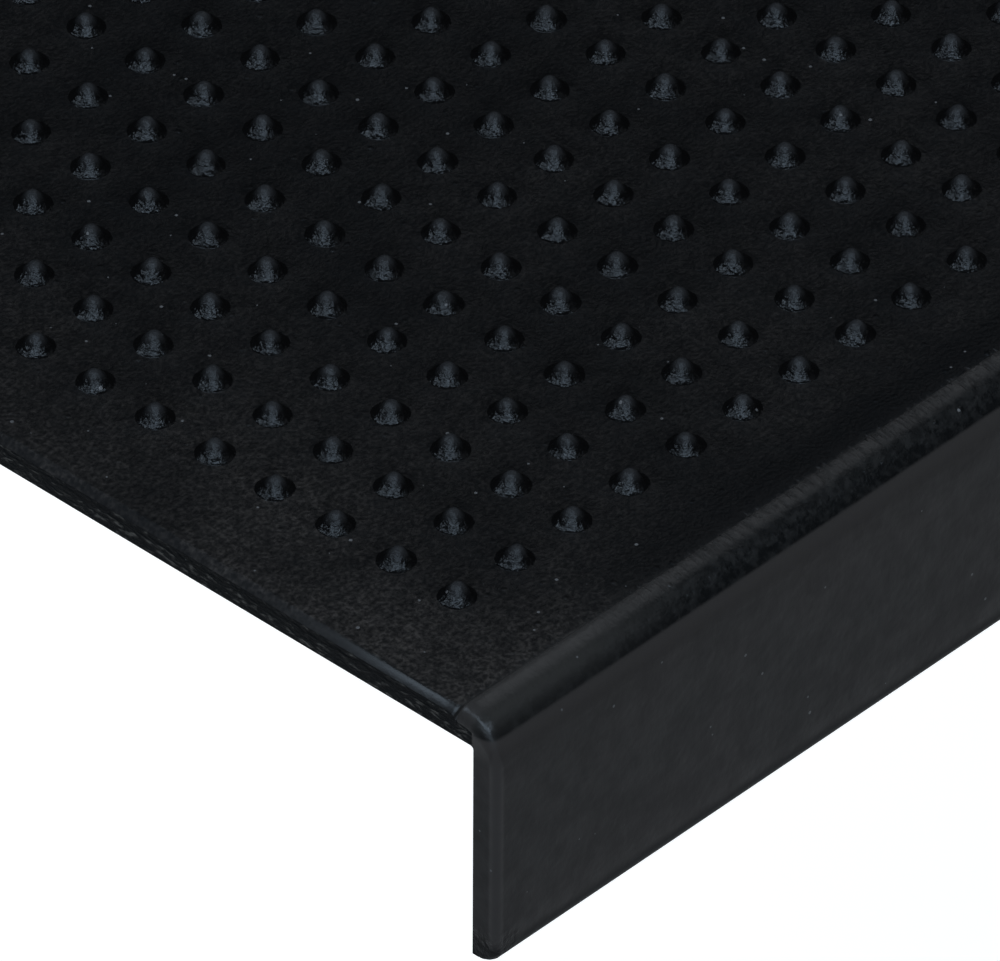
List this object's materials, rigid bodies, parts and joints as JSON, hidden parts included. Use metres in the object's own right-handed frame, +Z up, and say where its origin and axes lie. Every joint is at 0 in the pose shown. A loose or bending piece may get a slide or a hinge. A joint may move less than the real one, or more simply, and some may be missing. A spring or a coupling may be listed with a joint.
{
  "type": "anti slip stair tread mat",
  "caption": "Black rubber stair tread mat with a grid of small pointed studs, a rounded raised nose and a lip that hangs over the step's edge.",
  "frame": {"origin": "on the edge of the step, where the plane of the mat's flat underside meets the plane of the lip's back face, half way along the mat", "axes": "+X along the step's edge, +Y back over the tread away from the lip, +Z up"},
  "size_m": [0.65, 0.25, 0.0453],
  "materials": {
    "black_rubber": "satin black moulded rubber with a fine grain"
  },
  "bodies": {
    "root": {"tread_mat": "black_rubber"}
  },
  "joints": []
}
